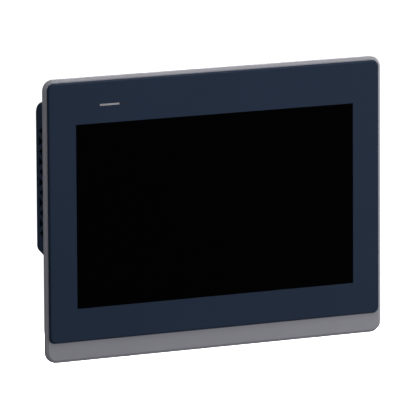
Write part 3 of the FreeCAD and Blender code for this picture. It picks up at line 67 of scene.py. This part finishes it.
class Recipe:
    """Builds one node material whose textures are measured in millimetres on the object."""

    def __init__(self, name):
        self.material = bpy.data.materials.new(name)
        self.material.use_nodes = True
        self.tree = self.material.node_tree
        self.shader = self.tree.nodes["Principled BSDF"]
        self.place = self.tree.nodes.new("ShaderNodeTexCoord").outputs["Object"]
        self.bump = None
        self.paint = None

    def node(self, kind, **values):
        made = self.tree.nodes.new(kind)
        for key, value in values.items():
            setattr(made, key, value)
        return made

    def link(self, source, target):
        self.tree.links.new(source, target)

    def set(self, **values):
        """Set the shader's own sockets, with spaces in their names given as underscores."""
        for key, value in values.items():
            self.shader.inputs[key.replace("_", " ")].default_value = value
        return self

    def noise(self, size, detail=3.0, stretch=(1, 1, 1)):
        """Give a noise whose features are about `size` millimetres across."""
        mapping = self.node("ShaderNodeMapping")
        mapping.inputs["Scale"].default_value = [one / (size * MM) for one in stretch]
        made = self.node("ShaderNodeTexNoise")
        made.inputs["Scale"].default_value = 1.0
        made.inputs["Detail"].default_value = detail
        self.link(self.place, mapping.inputs["Vector"])
        self.link(mapping.outputs["Vector"], made.inputs["Vector"])
        return made.outputs["Fac"]

    def cells(self, size):
        """Give a pattern of irregular cells about `size` millimetres across."""
        mapping = self.node("ShaderNodeMapping")
        mapping.inputs["Scale"].default_value = [1 / (size * MM)] * 3
        made = self.node("ShaderNodeTexVoronoi", feature="SMOOTH_F1")
        made.inputs["Scale"].default_value = 1.0
        self.link(self.place, mapping.inputs["Vector"])
        self.link(mapping.outputs["Vector"], made.inputs["Vector"])
        return made.outputs["Distance"]

    def spread(self, source, low, high, start=NOISE_SPREAD[0], end=NOISE_SPREAD[1]):
        """Map a pattern on to a range."""
        made = self.node("ShaderNodeMapRange", clamp=True)
        ends = (("From Min", start), ("From Max", end), ("To Min", low), ("To Max", high))
        for key, value in ends:
            made.inputs[key].default_value = value
        self.link(source, made.inputs["Value"])
        return made.outputs["Result"]

    def colour(self, base, contrast=0.08, size=25.0, detail=4.0):
        """Vary the base colour a little about its value."""
        ramp = self.node("ShaderNodeValToRGB")
        factors = (1 - contrast, 1 + contrast)
        for stop, place, factor in zip(ramp.color_ramp.elements, NOISE_SPREAD, factors):
            stop.position = place
            stop.color = [min(1.0, one * factor) for one in base[:3]] + [1.0]
        self.link(self.noise(size, detail), ramp.inputs["Fac"])
        self.link(ramp.outputs["Color"], self.shader.inputs["Base Color"])
        self.paint = ramp.outputs["Color"]
        return self

    def rough(self, low, high, size=6.0, stretch=(1, 1, 1)):
        """Vary the roughness."""
        varied = self.spread(self.noise(size, 3.0, stretch), low, high)
        self.link(varied, self.shader.inputs["Roughness"])
        return self

    def relief(self, pattern, depth, strength=1.0):
        """Add surface relief of a given depth in millimetres on top of any there is."""
        made = self.node("ShaderNodeBump")
        made.inputs["Distance"].default_value = depth * MM
        made.inputs["Strength"].default_value = strength
        self.link(pattern, made.inputs["Height"])
        if self.bump:
            self.link(self.bump, made.inputs["Normal"])
        self.bump = made.outputs["Normal"]
        self.link(self.bump, self.shader.inputs["Normal"])
        return self

    def wear(self, edge_colour, amount=0.5):
        """Lighten rubbed edges, found by how sharply the surface turns."""
        geometry = self.node("ShaderNodeNewGeometry")
        edge = self.spread(geometry.outputs["Pointiness"], 0.0, amount, *EDGE_TURN)
        mixed = self.node("ShaderNodeMix", data_type="RGBA")
        self.link(edge, mixed.inputs["Factor"])
        self.link(self.paint, mixed.inputs["A"])
        mixed.inputs["B"].default_value = (*edge_colour, 1.0)
        self.link(mixed.outputs["Result"], self.shader.inputs["Base Color"])
        return self


def moulded(name, base, rough=(0.42, 0.56), grain=0.35, depth=0.018, contrast=0.05,
            specular=0.5):
    """Injection-moulded plastic with a fine eroded texture."""
    made = Recipe(name).colour(base, contrast, 30.0).rough(*rough, size=5.0)
    made.relief(made.cells(grain), depth)
    made.relief(made.noise(grain * 0.6, 2.0), depth * 0.6)
    made.set(Specular_IOR_Level=specular)
    rubbed = [min(1.0, one * 1.5 + 0.01) for one in base]
    return made.wear(rubbed, 0.45).material


def film(name, base, rough=(0.3, 0.38), contrast=0.03, specular=0.5, depth=0.003):
    """Smooth printed film or painted plastic with a faint orange peel."""
    made = Recipe(name).colour(base, contrast, 60.0).rough(*rough, size=12.0)
    made.relief(made.noise(1.6, 2.0), depth)
    return made.set(Specular_IOR_Level=specular).material


def metal(name, base, rough=(0.22, 0.38), stretch=(1, 1, 12), size=1.2):
    """Drawn or rolled metal with fine lines along one way."""
    made = Recipe(name).colour(base, 0.06, 8.0).rough(*rough, size=size, stretch=stretch)
    made.relief(made.noise(size * 0.5, 3.0, stretch), 0.004)
    return made.set(Metallic=1.0).material


def clear(name, base, clearness, rough=0.08):
    """Clear or smoked plastic and glass."""
    made = Recipe(name).colour(base, 0.03, 20.0)
    made.rough(rough, rough + 0.05, size=9.0)
    made.relief(made.noise(6.0, 2.0), 0.002)
    return made.set(Transmission_Weight=clearness, IOR=ACRYLIC_INDEX).material


TABLE_CORNER = (-5.4, -12.6, 0.0)  # lower corner of the printed table, turned round
TABLE_CELL = (23.1, 6.9)
TABLE_LINE = 0.16
TABLE_INK = (0.03, 0.03, 0.035, 1.0)


def printed_plate(name, base):
    """Silvery film with the thin dark lines of an empty printed table."""
    made = Recipe(name).colour(base, 0.03, 40.0).rough(0.38, 0.5, size=12.0)
    turn = made.node("ShaderNodeMapping", vector_type="POINT")
    turn.inputs["Rotation"].default_value = (math.radians(-90), 0, 0)
    turn.inputs["Location"].default_value = [one * MM for one in TABLE_CORNER]
    made.link(made.place, turn.inputs["Vector"])
    table = made.node("ShaderNodeTexBrick", offset=0.0, squash=1.0)
    for key, value in (("Scale", 1.0), ("Mortar Size", TABLE_LINE * MM), ("Mortar Smooth", 0.1),
                       ("Brick Width", TABLE_CELL[0] * MM), ("Row Height", TABLE_CELL[1] * MM)):
        table.inputs[key].default_value = value
    made.link(turn.outputs["Vector"], table.inputs["Vector"])
    mixed = made.node("ShaderNodeMix", data_type="RGBA")
    made.link(table.outputs["Fac"], mixed.inputs["Factor"])
    made.link(made.paint, mixed.inputs["A"])
    mixed.inputs["B"].default_value = TABLE_INK
    made.link(mixed.outputs["Result"], made.shader.inputs["Base Color"])
    return made.relief(made.noise(1.6, 2.0), 0.003).material


def rubber(name, base, grain=0.2):
    """Dull soft material with a coarse skin."""
    made = Recipe(name).colour(base, 0.12, 6.0).rough(0.7, 0.9, size=2.0)
    return made.relief(made.noise(grain, 4.0), 0.03).material


TRACK_PITCH = 3.2
TRACK_EDGE = (0.42, 0.46)


def board(name, base):
    """Solder mask over faint copper tracks."""
    made = Recipe(name)
    mapping = made.node("ShaderNodeMapping")
    mapping.inputs["Scale"].default_value = [1 / (TRACK_PITCH * MM)] * 3
    tracks = made.node("ShaderNodeTexVoronoi", feature="F1", distance="MANHATTAN")
    tracks.inputs["Scale"].default_value = 1.0
    made.link(made.place, mapping.inputs["Vector"])
    made.link(mapping.outputs["Vector"], tracks.inputs["Vector"])
    bands = made.spread(tracks.outputs["Distance"], 0.0, 1.0, *TRACK_EDGE)
    mixed = made.node("ShaderNodeMix", data_type="RGBA")
    made.link(bands, mixed.inputs["Factor"])
    mixed.inputs["A"].default_value = (*base, 1.0)
    mixed.inputs["B"].default_value = (*[one * 1.7 + 0.004 for one in base], 1.0)
    made.link(mixed.outputs["Result"], made.shader.inputs["Base Color"])
    made.rough(0.25, 0.4, size=4.0)
    return made.relief(bands, 0.02).material


GREY = (0.200, 0.200, 0.226)
NAVY = (0.0148, 0.0248, 0.0464)
DARK_NAVY = (0.0160, 0.0262, 0.0495)

LOOKS = {
    "bezel_grey": moulded("bezel_grey_plastic", GREY, rough=(0.36, 0.44), depth=0.004,
                          contrast=0.02, specular=0.6),
    "cover_navy": film("cover_navy_film", NAVY, rough=(0.36, 0.44), specular=0.05),
    "screen_black": film("screen_black_gloss", (0.0006, 0.0006, 0.0007), rough=(0.10, 0.14),
                         specular=0.012, depth=0.0008),
    "strip_pale": film("strip_pale_print", (0.28, 0.26, 0.27), rough=(0.45, 0.55)),
    "lamp_smoke": clear("lamp_smoked_plastic", (0.018, 0.022, 0.034), 0.15),
    "clear_plastic": clear("light_pipe_acrylic", (0.8, 0.84, 0.86), 0.85),
    "touch_glass": clear("touch_glass_sheet", (0.55, 0.62, 0.6), 0.8, rough=0.03),
    "foam_black": rubber("foam_black_cells", (0.015, 0.015, 0.016), grain=0.5),
    "seal_rubber": rubber("seal_black_rubber", (0.022, 0.022, 0.024)),
    "display_steel": metal("display_frame_steel", (0.55, 0.56, 0.57)),
    "cell_glass": film("cell_dark_glass", (0.01, 0.01, 0.013), rough=(0.05, 0.09)),
    "light_white": film("backlight_white_film", (0.75, 0.75, 0.74), rough=(0.5, 0.6)),
    "carrier_steel": metal("carrier_zinc_steel", (0.5, 0.51, 0.5), stretch=(12, 1, 1), size=2.0),
    "board_green": board("board_green_mask", (0.006, 0.052, 0.022)),
    "housing_dark": moulded("housing_dark_plastic", DARK_NAVY, rough=(0.55, 0.68), depth=0.02,
                            specular=0.03),
    "screw_steel": metal("screw_zinc_steel", (0.5, 0.5, 0.48), stretch=(1, 1, 1), size=0.8),
    "spacer_brass": metal("spacer_turned_brass", (0.62, 0.45, 0.18), stretch=(1, 14, 1), size=0.8),
    "foil_amber": film("cable_amber_foil", (0.30, 0.12, 0.015), rough=(0.2, 0.3)),
    "chip_black": moulded("chip_black_epoxy", (0.012, 0.012, 0.013), grain=0.2, depth=0.01),
    "pad_grey": rubber("pad_grey_silicone", (0.22, 0.26, 0.3)),
    "sink_aluminium": metal("sink_extruded_aluminium", (0.62, 0.63, 0.64), stretch=(1, 1, 14)),
    "ferrite_grey": moulded("coil_grey_ferrite", (0.05, 0.05, 0.055), grain=0.3),
    "can_aluminium": metal("can_drawn_aluminium", (0.68, 0.69, 0.7), stretch=(1, 10, 1)),
    "cell_steel": metal("cell_polished_steel", (0.68, 0.68, 0.67), rough=(0.12, 0.25)),
    "contact_gold": metal("contact_gold_plate", (0.78, 0.56, 0.2), rough=(0.12, 0.22), size=0.5),
    "shell_steel": metal("shell_nickel_steel", (0.62, 0.61, 0.58), rough=(0.16, 0.3), size=0.9),
    "insert_black": moulded("insert_black_plastic", (0.014, 0.014, 0.015), grain=0.25, depth=0.008),
    "plug_green": moulded("plug_green_plastic", (0.012, 0.13, 0.045), grain=0.3, depth=0.008),
    "lever_white": moulded("lever_white_plastic", (0.68, 0.68, 0.65), grain=0.3, depth=0.006),
    "switch_case": moulded("switch_blue_plastic", (0.012, 0.035, 0.14), grain=0.25, depth=0.006),
    "plate_silver": printed_plate("plate_silver_print", (0.42, 0.42, 0.43)),
    "clamp_zinc": moulded("clamp_coated_zinc", (0.10, 0.10, 0.105), rough=(0.35, 0.5), grain=0.5),
    "lamp_amber": clear("lamp_amber_lens", (0.55, 0.26, 0.03), 0.3, rough=0.2),
    "lamp_green": clear("lamp_green_lens", (0.10, 0.42, 0.08), 0.3, rough=0.2),
    "ceramic_tan": moulded("ceramic_tan_body", (0.26, 0.17, 0.09), rough=(0.35, 0.5), grain=0.3,
                           depth=0.004),
    "lamp_emitter": film("lamp_potted_resin", (0.55, 0.6, 0.22), rough=(0.2, 0.3)),
}


def paint(thing, slot):
    """Give a piece one of the looks as its only material."""
    thing.data.materials.clear()
    thing.data.materials.append(LOOKS[slot])


SLOT_OF = {entry["node"]: entry["material_slot"] for entry in frame["record"]["subparts"]}
for label, thing in frame["nodes"].items():
    paint(thing, SLOT_OF[label])


# ---- softened edges on the CAD pieces ------------------------------------------------------

WELD_REACH = 0.002
SHARP_ANGLE = math.radians(35)


def soften(label, width):
    """Round a CAD piece's sharp edges by a width in millimetres, without moving its faces."""
    thing = frame["nodes"][label]
    weld = thing.modifiers.new("weld", "WELD")
    weld.merge_threshold = WELD_REACH * MM
    bevel = thing.modifiers.new("soft_edges", "BEVEL")
    bevel.width = width * MM
    bevel.segments = 2
    bevel.limit_method = "ANGLE"
    bevel.angle_limit = SHARP_ANGLE
    bevel.use_clamp_overlap = True
    bevel.harden_normals = True


SOFT_EDGES = {
    "front_bezel": 0.2, "rear_housing": 0.3, "rating_plate": 0.04, "screen_sheet": 0.05,
    "power_plug": 0.15, "power_header": 0.15, "network_jack_a": 0.15, "network_jack_b": 0.15,
    "usb_shell": 0.08, "setting_switch": 0.1, "switch_lever_1": 0.08, "switch_lever_2": 0.08,
    "heat_sink": 0.12, "processor": 0.15, "memory_chips": 0.12, "power_coils": 0.6,
    "housing_screws": 0.12, "panel_gasket": 0.3,
}
for index in range(1, 5):
    SOFT_EDGES["clamp_block_%d" % index] = 0.25
    SOFT_EDGES["clamp_foot_%d" % index] = 0.2
for label, width in SOFT_EDGES.items():
    soften(label, width)


# ---- fine pieces that the CAD model leaves out ---------------------------------------------

MERGE_REACH = 0.001


def mesh_piece(name, points, faces, look, body="root"):
    """Make a visual piece from points in millimetres and let it ride on a CAD body."""
    data = bpy.data.meshes.new(name)
    data.from_pydata([[one * MM for one in point] for point in points], [], faces)
    data.validate()
    work = bmesh.new()
    work.from_mesh(data)
    bmesh.ops.remove_doubles(work, verts=work.verts, dist=MERGE_REACH * MM)
    bmesh.ops.recalc_face_normals(work, faces=work.faces)
    work.to_mesh(data)
    work.free()
    thing = bpy.data.objects.new(name, data)
    bpy.context.scene.collection.objects.link(thing)
    paint(thing, look)
    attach(thing, body)
    return thing


ROUND = 24  # steps in one turn of a screw
THREAD_PITCH = 0.5
ROOT_RADIUS, CREST_RADIUS = 1.24, 1.5
THREAD_PROFILE = (ROOT_RADIUS, ROOT_RADIUS, CREST_RADIUS, CREST_RADIUS)
STEM_TIP, STEM_TAIL, STEM_CHAMFER = 6.9, 19.4, 0.25
TIP_RADIUS, TAIL_RADIUS = 0.8, 1.1
KEY_RADIUS, KEY_DEPTH = 0.87, 2.2
CLAMP_SIDE, CLAMP_LEVEL = 70, 94.6
KEY_FACE = math.pi / 3  # angle taken by one face of the hexagonal key hole


def on_circle(side, y, level, angle, radius):
    """Give the point at an angle round an axis that runs along Y."""
    return (side + radius * math.cos(angle), y, level + radius * math.sin(angle))


def ring_of(points, side, y, level, radius_at):
    """Add a ring of points round the Y axis and give the index of its first."""
    start = len(points)
    for step in range(ROUND):
        angle = math.tau * step / ROUND
        points.append(on_circle(side, y, level, angle, radius_at(angle)))
    return start


def join_rings(faces, low, high):
    """Add the band of faces between two rings."""
    for step in range(ROUND):
        beside = (step + 1) % ROUND
        faces.append((low + step, low + beside, high + beside, high + step))


def even(radius):
    """Give a ring the same radius all round."""
    return lambda angle: radius


def key_outline(angle):
    """Radius of the hexagonal key hole at an angle."""
    within = angle % KEY_FACE - KEY_FACE / 2
    return KEY_RADIUS * math.cos(KEY_FACE / 2) / math.cos(within)


def add_thread(points, faces, side, level, low, high):
    """Wind the thread's profile up the stem, flattened on to the root at both ends."""
    across = len(THREAD_PROFILE)
    rows = int((high - low) / THREAD_PITCH * ROUND) + 1 + 2 * ROUND
    for row in range(rows):
        turns = row / ROUND - 1
        for part, radius in enumerate(THREAD_PROFILE):
            y = low + THREAD_PITCH * (turns + part / across)
            if not low < y < high:
                y, radius = min(max(y, low), high), ROOT_RADIUS
            points.append(on_circle(side, y, level, math.tau * turns, radius))
    for row in range(rows - 1):
        for part in range(across):
            here, there = row * across + part, (row + 1) * across + part
            if part + 1 < across:
                faces.append((here, there, there + 1, here + 1))
            elif row + 1 + ROUND < rows:
                faces.append((here, there, (row + 1 + ROUND) * across, (row + ROUND) * across))


def threaded_stem(node, side, level):
    """Clamp screw with a helical thread, chamfered ends and a hexagonal key hole."""
    points, faces = [], []
    low, high = STEM_TIP + STEM_CHAMFER, STEM_TAIL - STEM_CHAMFER
    add_thread(points, faces, side, level, low, high)
    tip = ring_of(points, side, STEM_TIP, level, even(TIP_RADIUS))
    neck = ring_of(points, side, low, level, even(ROOT_RADIUS))
    shoulder = ring_of(points, side, high, level, even(ROOT_RADIUS))
    rim = ring_of(points, side, STEM_TAIL, level, even(TAIL_RADIUS))
    mouth = ring_of(points, side, STEM_TAIL, level, key_outline)
    floor = ring_of(points, side, STEM_TAIL - KEY_DEPTH, level, key_outline)
    for start, end in ((tip, neck), (shoulder, rim), (rim, mouth), (mouth, floor)):
        join_rings(faces, start, end)
    for start in (tip, floor):
        faces.append(tuple(range(start, start + ROUND)))
    made = mesh_piece(node + "_thread", points, faces, "screw_steel", node)
    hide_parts(node)


def soft_box(name, low, high, look, edge, body="root"):
    """Small block with softened edges, from its low and high corners."""
    work = bmesh.new()
    bmesh.ops.create_cube(work, size=1.0)
    for vertex in work.verts:
        for axis in range(3):
            share = vertex.co[axis] + 0.5
            vertex.co[axis] = low[axis] + share * (high[axis] - low[axis])
    bmesh.ops.bevel(work, geom=list(work.edges), offset=edge, segments=2, profile=0.6,
                    affect="EDGES")
    points = [tuple(vertex.co) for vertex in work.verts]
    faces = [tuple(vertex.index for vertex in face.verts) for face in work.faces]
    work.free()
    return mesh_piece(name, points, faces, look, body)


NETWORK_SIDES = (("a", 8.0), ("b", -14.0))
LINK_OFFSET, LINK_HALF = 5.5, 1.5
LINK_FRONT, LINK_BACK = 24.6, 26.5
LINK_LOW, LINK_HIGH = -29.75, -29.3
PLUG_SIDE, PLUG_HALF = -88.0, 8.2
RIB_START, RIB_PITCH, RIB_WIDTH, RIB_RISE = 16.6, 1.8, 0.9, 0.25
RIB_LOW, RIB_HIGH = -37.8, -31.0
RIB_COUNT = 4


def link_lamps():
    """An amber and a green lamp in the corners of each network socket's mouth."""
    for letter, side in NETWORK_SIDES:
        for way, tint in ((-1, "amber"), (1, "green")):
            middle = side + way * LINK_OFFSET
            soft_box("link_lamp_%s_%s" % (letter, tint),
                     (middle - LINK_HALF, LINK_FRONT, LINK_LOW),
                     (middle + LINK_HALF, LINK_BACK, LINK_HIGH), "lamp_" + tint, 0.12)


def plug_ribs():
    """Grip ribs on both ends of the supply plug."""
    for way, end in ((-1, "left"), (1, "right")):
        for index in range(RIB_COUNT):
            front = RIB_START + index * RIB_PITCH
            face = PLUG_SIDE + way * PLUG_HALF
            top = face + way * RIB_RISE
            soft_box("plug_rib_%s_%d" % (end, index),
                     (min(face, top), front, RIB_LOW),
                     (max(face, top), front + RIB_WIDTH, RIB_HIGH), "plug_green", 0.1, "power_plug")


# Places on the main board that its modelled parts take, as x and z from low to high.
BOARD_TAKEN = (
    (-33, 9, 13, 53), (19, 11, 37, 49), (-94, -6, -60, 30), (70, 26, 98, 54), (-100, -27, 75, -6),
)
SPACER_SIDES, SPACER_LEVELS, SPACER_ROOM = (-102, 26, 102), (-20, 66), 5
BOARD_BACK = 14.0
CHIP_PLACES, CHIP_SEED, CHIP_GAP = 90, 451, 2
CHIP_SIDES, CHIP_LEVELS = (-103, 103), (-4, 70)
CHIP_SIZES = ((1.0, 0.6), (1.6, 0.8), (2.4, 1.3))  # half length, half width and also height
CHIP_LOOKS = ("ceramic_tan", "ceramic_tan", "chip_black")


def board_chips():
    """Small ceramic and epoxy bodies, scattered over the free parts of the main board."""
    chance = random.Random(CHIP_SEED)
    taken = list(BOARD_TAKEN)
    for index in range(CHIP_PLACES):
        x, z = chance.uniform(*CHIP_SIDES), chance.uniform(*CHIP_LEVELS)
        if any(left < x < right and low < z < high for left, low, right, high in taken):
            continue
        if any(abs(x - side) < SPACER_ROOM and abs(z - level) < SPACER_ROOM
               for side in SPACER_SIDES for level in SPACER_LEVELS):
            continue
        long_way, short_way = chance.choice(CHIP_SIZES)
        if chance.random() < 0.5:
            width, height = long_way, short_way
        else:
            width, height = short_way, long_way
        soft_box("board_chip_%02d" % index, (x - width, BOARD_BACK, z - height),
                 (x + width, BOARD_BACK + short_way, z + height), chance.choice(CHIP_LOOKS), 0.08)
        taken.append((x - width - CHIP_GAP, z - height - CHIP_GAP,
                      x + width + CHIP_GAP, z + height + CHIP_GAP))


threaded_stem("clamp_screw_1", -CLAMP_SIDE, CLAMP_LEVEL)
threaded_stem("clamp_screw_2", CLAMP_SIDE, CLAMP_LEVEL)
threaded_stem("clamp_screw_3", -CLAMP_SIDE, -CLAMP_LEVEL)
threaded_stem("clamp_screw_4", CLAMP_SIDE, -CLAMP_LEVEL)
link_lamps()
plug_ribs()
board_chips()


# ---- studio --------------------------------------------------------------------------------

def matte_white(name, glow):
    """Pale surface that also glows a little, so that it stays even."""
    made = Recipe(name).colour((0.86, 0.86, 0.87), 0.01, 400.0)
    made.rough(0.8, 0.9, size=200.0)
    return made.set(Emission_Color=(1, 1, 1, 1), Emission_Strength=glow).material


# Where each square lamp stands in metres, its side in metres and its power in watts.
LAMPS = {
    "key_above": ((0.25, -0.30, 1.1), 0.9, 11.5),
    "wide_right": ((2.8, -2.1, 0.3), 2.1, 72.0),
    "card_above": ((1.6, -2.9, 1.75), 1.1, 24.0),
    "rear_left": ((-1.2, 0.35, 0.2), 0.8, 2.4),
    "rear_right": ((0.9, 1.9, 0.05), 1.2, 20.0),
}
FLOOR_HALF, FLOOR_DROP, DOME_RADIUS = 7.0, 0.35, 7.5
AIR_TINT, AIR_STRENGTH = (0.94, 0.95, 1.0, 1.0), 0.225


def studio_shell(name, work, look):
    """Turn mesh work into a stage object and free the work."""
    data = bpy.data.meshes.new(name)
    work.to_mesh(data)
    work.free()
    data.materials.append(look)
    return bpy.data.objects.new(name, data)


def studio():
    """Pale floor well below the object and a white dome, which only the camera sees."""
    floor_work = bmesh.new()
    bmesh.ops.create_grid(floor_work, x_segments=24, y_segments=24, size=FLOOR_HALF)
    floor = studio_shell("studio_floor", floor_work, matte_white("floor_pale", 0.9))
    floor.location.z = cad_low.z - FLOOR_DROP

    dome_work = bmesh.new()
    bmesh.ops.create_uvsphere(dome_work, u_segments=48, v_segments=24, radius=DOME_RADIUS)
    dome = studio_shell("studio_dome", dome_work, matte_white("dome_white", 1.3))
    for stage in (floor, dome):
        bpy.context.scene.collection.objects.link(stage)
        stage.visible_diffuse = False
        stage.visible_glossy = False
        stage.visible_shadow = False
        stage.visible_transmission = False

    world = bpy.data.worlds.new("studio_air")
    world.use_nodes = True
    air = world.node_tree.nodes["Background"]
    air.inputs["Color"].default_value = AIR_TINT
    air.inputs["Strength"].default_value = AIR_STRENGTH
    bpy.context.scene.world = world


def lamp(name, place, size, power):
    """Square soft light aimed at the object's middle."""
    data = bpy.data.lights.new(name, "AREA")
    data.size = size
    data.energy = power
    made = bpy.data.objects.new(name, data)
    made.location = place
    made.rotation_mode = "QUATERNION"
    made.rotation_quaternion = (-Vector(place)).to_track_quat("-Z", "Y")
    bpy.context.scene.collection.objects.link(made)


YAW, PITCH, ROLL = math.radians(28.77), math.radians(8.54), math.radians(-0.31)
DISTANCE = 4.235
AIM = Vector((-0.00453, 0.0, 0.00041))
SENSOR_WIDTH, LENS = 36.0, 524.4
FARTHEST = 100.0


def camera():
    """Long lens, to the object's left and a little above it."""
    back = Vector((-math.sin(YAW) * math.cos(PITCH), -math.cos(YAW) * math.cos(PITCH),
                   math.sin(PITCH)))
    right = Vector((0, 0, 1)).cross(back).normalized()
    up = back.cross(right)
    turned_right = math.cos(ROLL) * right + math.sin(ROLL) * up
    turned_up = -math.sin(ROLL) * right + math.cos(ROLL) * up
    axes = Matrix((turned_right, turned_up, back)).transposed()
    data = bpy.data.cameras.new("camera")
    data.sensor_width = SENSOR_WIDTH
    data.lens = LENS
    data.clip_end = FARTHEST
    made = bpy.data.objects.new("camera", data)
    made.matrix_world = Matrix.Translation(AIM + back * DISTANCE) @ axes.to_4x4()
    bpy.context.scene.collection.objects.link(made)
    bpy.context.scene.camera = made


studio()
for label, (place, size, power) in LAMPS.items():
    lamp(label, place, size, power)
camera()
bpy.context.scene.view_settings.view_transform = "Standard"
